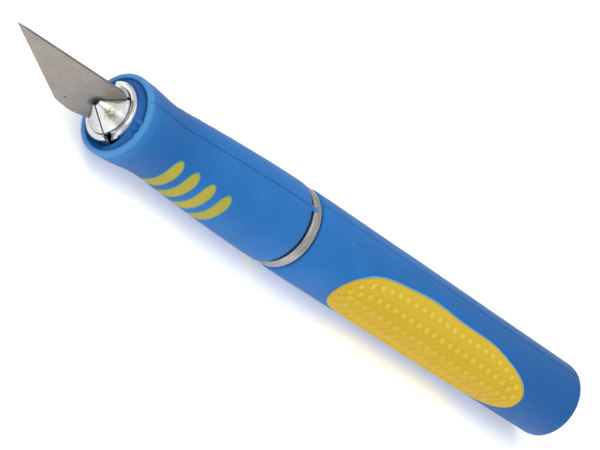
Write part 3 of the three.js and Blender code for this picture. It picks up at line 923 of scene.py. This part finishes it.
class CRAFTKNIFE_OT_pads(Operator):
    """Models the yellow thumb pads with their rows of bumps"""

    bl_idname = "craftknife.pads"
    bl_label = "Thumb pads"

    def execute(self, context):
        s = context.scene.craft_knife_inlays
        rubber = moulded_rubber(
            "yellow_pad_rubber", s.pad_yellow, flow=0.03, painted_highlight=s.highlight_yellow, edge=(s.pad_edge_shade, s.cyan)
        )
        radius_at = skin("rear_grip")
        low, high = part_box("thumb_pad_left")
        middle = station((low + high) / 2)
        length = high.x - low.x
        width = radius_at(middle) * MM * math.radians(turns("thumb_pad_left")[1])
        rise = s.pad_crown
        rim = [(step * MM, share * rise) for step, share in PAD_RIM]
        flat = plate("pad", length, width, PAD_STRETCH, INLAY_DEPTH, rim, PAD_CUTS)
        clean = 0.8 * rise  # the rim's painted shade and highlight line end at this height

        # The pad's edge band: painted shade just inside a thin line that is partly blue showing through and
        # partly a painted highlight, strongest on the upper edge.
        def edge_light_and_shade(co):
            upward = min(1, max(LEAST_EDGE_SHADE, co.y / (EDGE_SHADE_RISE * width)))
            return (1 - co.z / clean) * upward

        marked(flat, "stain_and_painted_light", edge_light_and_shade)

        one = bump(s.bump_width, s.bump_height)
        bumps = []
        for row in range(s.bump_rows):
            share = 2 * row / (s.bump_rows - 1) - 1
            count = int(length / s.bump_pitch)
            for step in range(count):
                x = (step - (count - 1) / 2 + (row % 2) / 2) * s.bump_pitch
                end = max(0.0, abs(x) - length / 4) / (length / 4)
                half = width / 2 * math.sqrt(max(0.0, 1 - end * end)) - s.bump_border
                if half < 0.4 * s.bump_pitch or abs(x) > length / 2 - s.bump_border:
                    continue
                only(one)
                bpy.ops.object.duplicate()
                copy = bpy.context.view_layer.objects.active
                copy.location = (x, share * half, rise)
                bumps.append(copy)
        only(flat)
        for copy in bumps:
            copy.select_set(True)
        bpy.ops.object.join()
        bpy.data.objects.remove(one)
        foot = rise + 0.25 * s.bump_height  # a bump is painted pale as a highlight above this height

        def bump_highlight(co):
            """Painted highlight: the bumps' tops are paler, most on the pad's upper half, which is painted a
            little paler itself.
            """
            top = (co.z - foot) / (rise + s.bump_height - foot)
            return max(top * min(0.7, 0.25 + 1.6 * co.y / width), min(0.22, co.y / width - 0.1))

        marked(flat, "painted_highlight", bump_highlight)
        for vertex in flat.data.vertices:  # the upper edge wanders a little, and dips towards the tail
            share = max(0.0, vertex.co.y / (width / 2)) ** 3
            vertex.co.y += s.wave * share * math.sin(vertex.co.x / WAVE_LENGTH)
            rearward = (-vertex.co.x / (0.5 * length) - TAPER_START) / TAPER_LENGTH
            rearward = min(max(rearward, 0), 1)
            vertex.co.y -= s.taper * share * rearward * rearward * (3 - 2 * rearward)

        for word, side in SIDES.items():
            node = f"thumb_pad_{word}"
            only(flat)
            bpy.ops.object.duplicate()
            pad = added(f"yellow_pad_{word}")
            rolled(pad, side, middle, turns(node)[0], radius_at)
            finished(pad, node, rubber, INLAY_SHARP)
        bpy.data.objects.remove(flat)
        return {"FINISHED"}


class CRAFTKNIFE_OT_inner_parts(Operator):
    """Gives the parts inside the handle their finishes"""

    bl_idname = "craftknife.inner_parts"
    bl_label = "Inner parts"

    def execute(self, context):
        aluminium, brass, nylon = linear("#b9b8b4"), linear("#c3a552"), linear("#2b2d30")
        tube = turned_metal("drawn_aluminium_tube", aluminium, line=0.4, depth=0.01, gloss=0.3, streak=0.2)
        insert = turned_metal("turned_brass", brass, line=0.2, depth=0.01, gloss=0.25, streak=0.2)
        plug = moulded_plastic("glass_filled_nylon", nylon)
        finishes = {"handle_tube": tube, "thread_insert": insert, "tail_plug": plug}
        for node, material in finishes.items():
            NODES[node].data.materials.clear()
            NODES[node].data.materials.append(material)
        return {"FINISHED"}


FLOOR_SIZE = 6  # metres
LIGHT_AIM = (0.1, 0.05, 0)  # metres, on the floor beside the chuck
SOFTBOX_PLACE, SOFTBOX_SIZE = (0.1, 0.05, 0.7), (0.6, 0.4)  # metres
FILL_PLACE, FILL_SIZE = (0.75, 0.3, 0.4), (0.4, 0.4)  # metres
SENSOR_WIDTH = 36  # millimetres
FAR_CLIP = 20  # metres


class CRAFTKNIFE_OT_stage(Operator):
    """Adds the pale floor, the soft light and the camera"""

    bl_idname = "craftknife.stage"
    bl_label = "Stage"

    def execute(self, context):
        s = context.scene.craft_knife_stage
        scene = context.scene
        lowest = min(0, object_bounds()[0].z)
        rest()
        bpy.ops.mesh.primitive_grid_add(
            x_subdivisions=8, y_subdivisions=8, size=FLOOR_SIZE, location=(0, 0, lowest)
        )
        floor = added("paper_floor")
        floor.data.materials.append(paper("seamless_paper", s.floor, s.glow))
        floor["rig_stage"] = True

        world = bpy.data.worlds.new("studio_light")
        scene.world = world
        world.use_nodes = True
        tree = world.node_tree
        tree.nodes.clear()
        direction = add(tree, "ShaderNodeTexCoord", {}, "Generated")
        height = add(tree, "ShaderNodeSeparateXYZ", {"Vector": direction}, "Z")
        span = {"From Max": 0.8, "To Min": 0.75 * s.daylight, "To Max": 1.15 * s.daylight}
        strength = add(tree, RANGE, {"Value": height, **span})
        light = add(tree, "ShaderNodeBackground", {"Color": (1, 1, 1, 1), "Strength": strength})
        add(tree, "ShaderNodeOutputWorld", {"Surface": light})

        for name, place, power, spread in (
            ("softbox", SOFTBOX_PLACE, s.softbox, SOFTBOX_SIZE),
            ("fill", FILL_PLACE, s.fill, FILL_SIZE),
        ):
            bpy.ops.object.light_add(type="AREA", location=place)
            lamp = context.view_layer.objects.active
            lamp.name = name
            lamp.data.shape = "RECTANGLE"
            lamp.data.size, lamp.data.size_y = spread
            lamp.data.energy = power
            lamp.rotation_euler = (Vector(place) - Vector(LIGHT_AIM)).to_track_quat("Z", "Y").to_euler()

        facing = (
            Matrix.Rotation(s.azimuth + math.pi / 2, 3, "Z")
            @ Matrix.Rotation(math.pi / 2 - s.elevation, 3, "X")
            @ Matrix.Rotation(s.roll, 3, "Z")
        )
        right, up, back = facing.col
        aim = MOUTH + s.aim_right * right + s.aim_up * up
        bpy.ops.object.camera_add()
        camera = context.view_layer.objects.active
        camera.matrix_world = Matrix.Translation(aim + s.distance * back) @ facing.to_4x4()
        camera.data.lens = s.lens
        camera.data.sensor_width = SENSOR_WIDTH
        camera.data.clip_end = FAR_CLIP
        scene.camera = camera
        scene.view_settings.view_transform = "Standard"
        return {"FINISHED"}


class CRAFTKNIFE_PT_panel(Panel):
    """Lists the knife's pieces and their settings"""

    bl_label = "Craft Knife"
    bl_idname = "CRAFTKNIFE_PT_panel"
    bl_space_type = "VIEW_3D"
    bl_region_type = "UI"
    bl_category = "Craft Knife"

    def draw(self, context):
        for group in GROUPS:
            box = self.layout.box()
            for operator in OPERATORS[group]:
                box.operator(operator.bl_idname)
            settings = getattr(context.scene, group)
            for name in settings.__annotations__:
                box.prop(settings, name)
        self.layout.operator(CRAFTKNIFE_OT_inner_parts.bl_idname)


GROUPS = {
    "craft_knife_blade": CraftKnifeBlade,
    "craft_knife_chuck": CraftKnifeChuck,
    "craft_knife_grips": CraftKnifeGrips,
    "craft_knife_inlays": CraftKnifeInlays,
    "craft_knife_stage": CraftKnifeStage,
}
OPERATORS = {
    "craft_knife_blade": (CRAFTKNIFE_OT_blade,),
    "craft_knife_chuck": (CRAFTKNIFE_OT_chuck,),
    "craft_knife_grips": (CRAFTKNIFE_OT_grips, CRAFTKNIFE_OT_ring),
    "craft_knife_inlays": (CRAFTKNIFE_OT_stripes, CRAFTKNIFE_OT_pads),
    "craft_knife_stage": (CRAFTKNIFE_OT_stage,),
}
CLASSES = (
    *GROUPS.values(),
    *(operator for operators in OPERATORS.values() for operator in operators),
    CRAFTKNIFE_OT_inner_parts,
    CRAFTKNIFE_PT_panel,
)


def register():
    for cls in CLASSES:
        bpy.utils.register_class(cls)
    for name, group in GROUPS.items():
        setattr(bpy.types.Scene, name, PointerProperty(type=group))


def unregister():
    for name in GROUPS:
        delattr(bpy.types.Scene, name)
    for cls in reversed(CLASSES):
        bpy.utils.unregister_class(cls)


def main():
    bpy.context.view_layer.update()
    register()
    bpy.ops.craftknife.blade()
    bpy.ops.craftknife.chuck()
    bpy.ops.craftknife.grips()
    bpy.ops.craftknife.ring()
    bpy.ops.craftknife.stripes()
    bpy.ops.craftknife.pads()
    bpy.ops.craftknife.inner_parts()
    bpy.ops.craftknife.stage()


if __name__ == "__main__":
    main()
